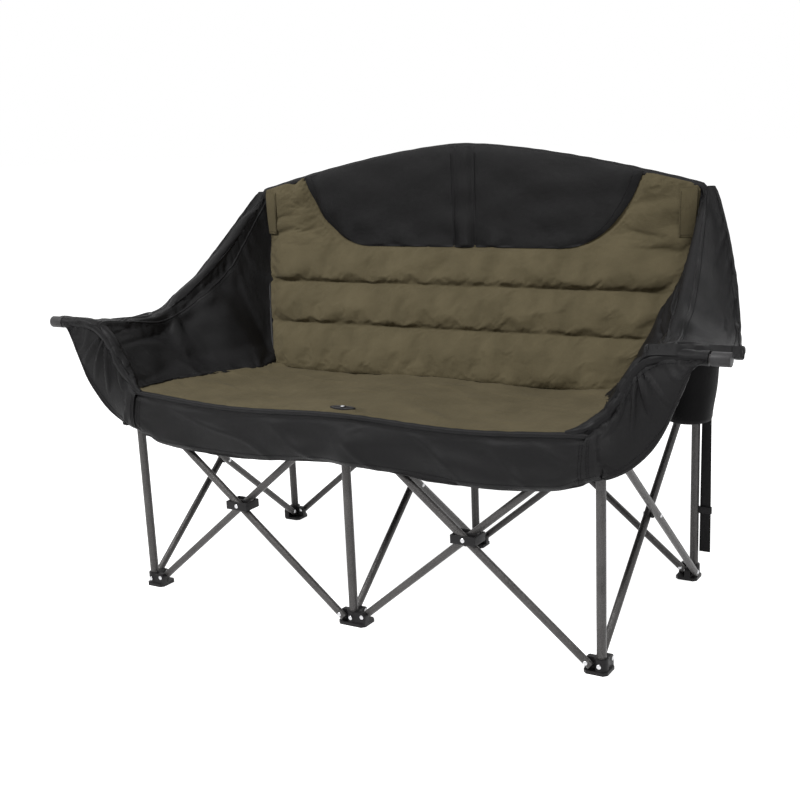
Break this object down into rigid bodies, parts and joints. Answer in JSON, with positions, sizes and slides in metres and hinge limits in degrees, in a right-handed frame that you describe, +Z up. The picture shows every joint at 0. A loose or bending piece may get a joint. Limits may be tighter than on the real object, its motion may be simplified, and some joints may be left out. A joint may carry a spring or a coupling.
{
  "type": "folding camping loveseat",
  "caption": "Wide folding camp seat with a padded channelled back, side wings and a scissor tube frame on plastic feet that gathers into an upright bundle.",
  "frame": {"origin": "on the floor under the middle of the foot grid", "axes": "+X to the right of someone facing the seat, +Y from the front of the seat to its back, +Z up"},
  "size_m": [1.5982, 0.602, 0.969],
  "materials": {
    "frame_paint": "hammered dark grey powder coat",
    "black_plastic": "moulded black",
    "grey_plastic": "moulded dark grey",
    "olive_cloth": "woven olive polyester over foam",
    "black_cloth": "woven black polyester"
  },
  "bodies": {
    "front_center_leg": {"foot_front_center": "black_plastic", "leg_front_center": "frame_paint"},
    "right_arm": {"cross_front_right_rising": "frame_paint", "arm_cap_right": "grey_plastic", "arm_front_right": "black_cloth", "wing_right": "black_cloth", "cup_holder_right": "black_cloth"},
    "front_right_cross": {"cross_front_right_falling": "frame_paint"},
    "front_right_hub": {"hub_front_right": "black_plastic"},
    "front_right_leg": {"foot_front_right": "black_plastic", "leg_front_right": "frame_paint"},
    "front_right_bracket": {"bracket_front_right": "black_plastic", "inner_front_right": "frame_paint"},
    "front_center_bracket": {"bracket_front_center": "black_plastic", "inner_front_center": "frame_paint", "grommet": "black_plastic", "apron": "black_cloth"},
    "left_arm": {"cross_front_left_falling": "frame_paint", "arm_cap_left": "grey_plastic", "arm_front_left": "black_cloth", "wing_left": "black_cloth", "cup_holder_left": "black_cloth"},
    "front_left_cross": {"cross_front_left_rising": "frame_paint"},
    "front_left_hub": {"hub_front_left": "black_plastic"},
    "front_left_leg": {"foot_front_left": "black_plastic", "leg_front_left": "frame_paint"},
    "front_left_bracket": {"bracket_front_left": "black_plastic", "inner_front_left": "frame_paint"},
    "center_brace_back": {"brace_center_to_back": "frame_paint", "spacer_center": "black_plastic"},
    "center_brace_front": {"brace_center_to_front": "frame_paint"},
    "back_center_post": {"foot_back_center": "black_plastic", "upright_center": "frame_paint", "back_upper": "olive_cloth"},
    "back_center_bracket": {"bracket_back_center": "black_plastic"},
    "right_brace_back": {"brace_right_to_back": "frame_paint", "spacer_right": "black_plastic"},
    "right_brace_front": {"brace_right_to_front": "frame_paint"},
    "back_right_post": {"foot_back_right": "black_plastic", "upright_right": "frame_paint"},
    "back_right_bracket": {"bracket_back_right": "black_plastic", "strap": "black_cloth", "buckle": "black_plastic"},
    "left_brace_back": {"brace_left_to_back": "frame_paint", "spacer_left": "black_plastic"},
    "left_brace_front": {"brace_left_to_front": "frame_paint"},
    "back_left_post": {"foot_back_left": "black_plastic", "upright_left": "frame_paint"},
    "back_left_bracket": {"bracket_back_left": "black_plastic"},
    "back_right_rise": {"cross_back_right_rising": "frame_paint"},
    "back_right_fall": {"cross_back_right_falling": "frame_paint"},
    "back_right_hub": {"hub_back_right": "black_plastic"},
    "back_left_fall": {"cross_back_left_falling": "frame_paint"},
    "back_left_rise": {"cross_back_left_rising": "frame_paint"},
    "back_left_hub": {"hub_back_left": "black_plastic"},
    "seat_front_cloth": {"seat_front": "olive_cloth"},
    "seat_rear_cloth": {"seat_rear": "olive_cloth"},
    "back_lower_cloth": {"back_lower": "olive_cloth"}
  },
  "joints": [
    {"name": "frame_fold", "type": "hinge", "parent": "front_center_leg", "child": "right_arm", "pos_m": [0.026, -0.267, 0.022], "axis": [0, -1, 0], "range_deg": [0, 45], "deforming": ["seat_front", "seat_rear", "apron", "arm_front_left", "arm_front_right", "wing_left", "wing_right", "back_lower", "back_upper", "cup_holder_left", "cup_holder_right"]},
    {"name": "front_right_crossing", "type": "hinge", "parent": "right_arm", "child": "front_right_cross", "pos_m": [0.2775, -0.2775, 0.23], "axis": [0, 1, 0], "range_deg": [0, 90]},
    {"name": "front_right_hub_turn", "type": "hinge", "parent": "right_arm", "child": "front_right_hub", "pos_m": [0.2775, -0.2775, 0.23], "axis": [0, 1, 0], "range_deg": [0, 45]},
    {"name": "front_right_foot_pivot", "type": "hinge", "parent": "front_right_cross", "child": "front_right_leg", "pos_m": [0.529, -0.288, 0.022], "axis": [0, -1, 0], "range_deg": [0, 45]},
    {"name": "front_right_bracket_pivot", "type": "hinge", "parent": "right_arm", "child": "front_right_bracket", "pos_m": [0.529, -0.267, 0.438], "axis": [0, 1, 0], "range_deg": [0, 45]},
    {"name": "front_center_bracket_pivot", "type": "hinge", "parent": "front_right_cross", "child": "front_center_bracket", "pos_m": [0.026, -0.288, 0.438], "axis": [0, -1, 0], "range_deg": [0, 45]},
    {"name": "left_arm_pivot", "type": "hinge", "parent": "front_center_leg", "child": "left_arm", "pos_m": [-0.026, -0.288, 0.022], "axis": [0, 1, 0], "range_deg": [0, 45]},
    {"name": "front_left_crossing", "type": "hinge", "parent": "left_arm", "child": "front_left_cross", "pos_m": [-0.2775, -0.2775, 0.23], "axis": [0, -1, 0], "range_deg": [0, 90]},
    {"name": "front_left_hub_turn", "type": "hinge", "parent": "left_arm", "child": "front_left_hub", "pos_m": [-0.2775, -0.2775, 0.23], "axis": [0, -1, 0], "range_deg": [0, 45]},
    {"name": "front_left_foot_pivot", "type": "hinge", "parent": "front_left_cross", "child": "front_left_leg", "pos_m": [-0.529, -0.267, 0.022], "axis": [0, 1, 0], "range_deg": [0, 45]},
    {"name": "front_left_bracket_pivot", "type": "hinge", "parent": "left_arm", "child": "front_left_bracket", "pos_m": [-0.529, -0.288, 0.438], "axis": [0, -1, 0], "range_deg": [0, 45]},
    {"name": "center_brace_pivot", "type": "hinge", "parent": "front_center_leg", "child": "center_brace_back", "pos_m": [-0.0105, -0.2515, 0.022], "axis": [1, 0, 0], "range_deg": [0, 45]},
    {"name": "center_brace_crossing", "type": "hinge", "parent": "center_brace_back", "child": "center_brace_front", "pos_m": [0, 0, 0.23], "axis": [-1, 0, 0], "range_deg": [0, 90]},
    {"name": "back_center_foot_pivot", "type": "hinge", "parent": "center_brace_front", "child": "back_center_post", "pos_m": [0.0105, 0.2515, 0.022], "axis": [1, 0, 0], "range_deg": [0, 45]},
    {"name": "back_center_bracket_pivot", "type": "hinge", "parent": "center_brace_back", "child": "back_center_bracket", "pos_m": [-0.0105, 0.2515, 0.438], "axis": [-1, 0, 0], "range_deg": [0, 45]},
    {"name": "right_brace_pivot", "type": "hinge", "parent": "front_right_leg", "child": "right_brace_back", "pos_m": [0.5445, -0.2515, 0.022], "axis": [1, 0, 0], "range_deg": [0, 45]},
    {"name": "right_brace_crossing", "type": "hinge", "parent": "right_brace_back", "child": "right_brace_front", "pos_m": [0.555, 0, 0.23], "axis": [-1, 0, 0], "range_deg": [0, 90]},
    {"name": "back_right_foot_pivot", "type": "hinge", "parent": "right_brace_front", "child": "back_right_post", "pos_m": [0.5655, 0.2515, 0.022], "axis": [1, 0, 0], "range_deg": [0, 45]},
    {"name": "back_right_bracket_pivot", "type": "hinge", "parent": "right_brace_back", "child": "back_right_bracket", "pos_m": [0.5445, 0.2515, 0.438], "axis": [-1, 0, 0], "range_deg": [0, 45]},
    {"name": "left_brace_pivot", "type": "hinge", "parent": "front_left_leg", "child": "left_brace_back", "pos_m": [-0.5655, -0.2515, 0.022], "axis": [1, 0, 0], "range_deg": [0, 45]},
    {"name": "left_brace_crossing", "type": "hinge", "parent": "left_brace_back", "child": "left_brace_front", "pos_m": [-0.555, 0, 0.23], "axis": [-1, 0, 0], "range_deg": [0, 90]},
    {"name": "back_left_foot_pivot", "type": "hinge", "parent": "left_brace_front", "child": "back_left_post", "pos_m": [-0.5445, 0.2515, 0.022], "axis": [1, 0, 0], "range_deg": [0, 45]},
    {"name": "back_left_bracket_pivot", "type": "hinge", "parent": "left_brace_back", "child": "back_left_bracket", "pos_m": [-0.5655, 0.2515, 0.438], "axis": [-1, 0, 0], "range_deg": [0, 45]},
    {"name": "back_right_pivot", "type": "hinge", "parent": "back_center_post", "child": "back_right_rise", "pos_m": [0.026, 0.288, 0.022], "axis": [0, -1, 0], "range_deg": [0, 45]},
    {"name": "back_right_crossing", "type": "hinge", "parent": "back_right_rise", "child": "back_right_fall", "pos_m": [0.2775, 0.2775, 0.23], "axis": [0, 1, 0], "range_deg": [0, 90]},
    {"name": "back_right_hub_turn", "type": "hinge", "parent": "back_right_rise", "child": "back_right_hub", "pos_m": [0.2775, 0.2775, 0.23], "axis": [0, 1, 0], "range_deg": [0, 45]},
    {"name": "back_left_pivot", "type": "hinge", "parent": "back_center_post", "child": "back_left_fall", "pos_m": [-0.026, 0.267, 0.022], "axis": [0, 1, 0], "range_deg": [0, 45]},
    {"name": "back_left_crossing", "type": "hinge", "parent": "back_left_fall", "child": "back_left_rise", "pos_m": [-0.2775, 0.2775, 0.23], "axis": [0, -1, 0], "range_deg": [0, 90]},
    {"name": "back_left_hub_turn", "type": "hinge", "parent": "back_left_fall", "child": "back_left_hub", "pos_m": [-0.2775, 0.2775, 0.23], "axis": [0, -1, 0], "range_deg": [0, 45]},
    {"name": "seat_front_fold", "type": "hinge", "parent": "front_center_bracket", "child": "seat_front_cloth", "pos_m": [0, -0.275, 0.46], "axis": [1, 0, 0], "range_deg": [0, 76.5]},
    {"name": "seat_rear_fold", "type": "hinge", "parent": "back_center_bracket", "child": "seat_rear_cloth", "pos_m": [0, 0.251, 0.458], "axis": [-1, 0, 0], "range_deg": [0, 76.5]},
    {"name": "back_fold", "type": "hinge", "parent": "back_center_post", "child": "back_lower_cloth", "pos_m": [0, 0.262, 0.75], "axis": [1, 0, 0], "range_deg": [0, 27.9]}
  ],
  "couplings": [
    {"joint": "front_right_crossing", "follows": "frame_fold", "ratio": 2},
    {"joint": "front_right_hub_turn", "follows": "frame_fold", "ratio": 1},
    {"joint": "front_right_foot_pivot", "follows": "frame_fold", "ratio": 1},
    {"joint": "front_right_bracket_pivot", "follows": "frame_fold", "ratio": 1},
    {"joint": "front_center_bracket_pivot", "follows": "frame_fold", "ratio": 1},
    {"joint": "left_arm_pivot", "follows": "frame_fold", "ratio": 1},
    {"joint": "front_left_crossing", "follows": "frame_fold", "ratio": 2},
    {"joint": "front_left_hub_turn", "follows": "frame_fold", "ratio": 1},
    {"joint": "front_left_foot_pivot", "follows": "frame_fold", "ratio": 1},
    {"joint": "front_left_bracket_pivot", "follows": "frame_fold", "ratio": 1},
    {"joint": "center_brace_pivot", "follows": "frame_fold", "ratio": 1},
    {"joint": "center_brace_crossing", "follows": "frame_fold", "ratio": 2},
    {"joint": "back_center_foot_pivot", "follows": "frame_fold", "ratio": 1},
    {"joint": "back_center_bracket_pivot", "follows": "frame_fold", "ratio": 1},
    {"joint": "right_brace_pivot", "follows": "frame_fold", "ratio": 1},
    {"joint": "right_brace_crossing", "follows": "frame_fold", "ratio": 2},
    {"joint": "back_right_foot_pivot", "follows": "frame_fold", "ratio": 1},
    {"joint": "back_right_bracket_pivot", "follows": "frame_fold", "ratio": 1},
    {"joint": "left_brace_pivot", "follows": "frame_fold", "ratio": 1},
    {"joint": "left_brace_crossing", "follows": "frame_fold", "ratio": 2},
    {"joint": "back_left_foot_pivot", "follows": "frame_fold", "ratio": 1},
    {"joint": "back_left_bracket_pivot", "follows": "frame_fold", "ratio": 1},
    {"joint": "back_right_pivot", "follows": "frame_fold", "ratio": 1},
    {"joint": "back_right_crossing", "follows": "frame_fold", "ratio": 2},
    {"joint": "back_right_hub_turn", "follows": "frame_fold", "ratio": 1},
    {"joint": "back_left_pivot", "follows": "frame_fold", "ratio": 1},
    {"joint": "back_left_crossing", "follows": "frame_fold", "ratio": 2},
    {"joint": "back_left_hub_turn", "follows": "frame_fold", "ratio": 1},
    {"joint": "seat_front_fold", "follows": "frame_fold", "ratio": 1.7},
    {"joint": "seat_rear_fold", "follows": "frame_fold", "ratio": 1.7},
    {"joint": "back_fold", "follows": "frame_fold", "ratio": 0.62}
  ]
}
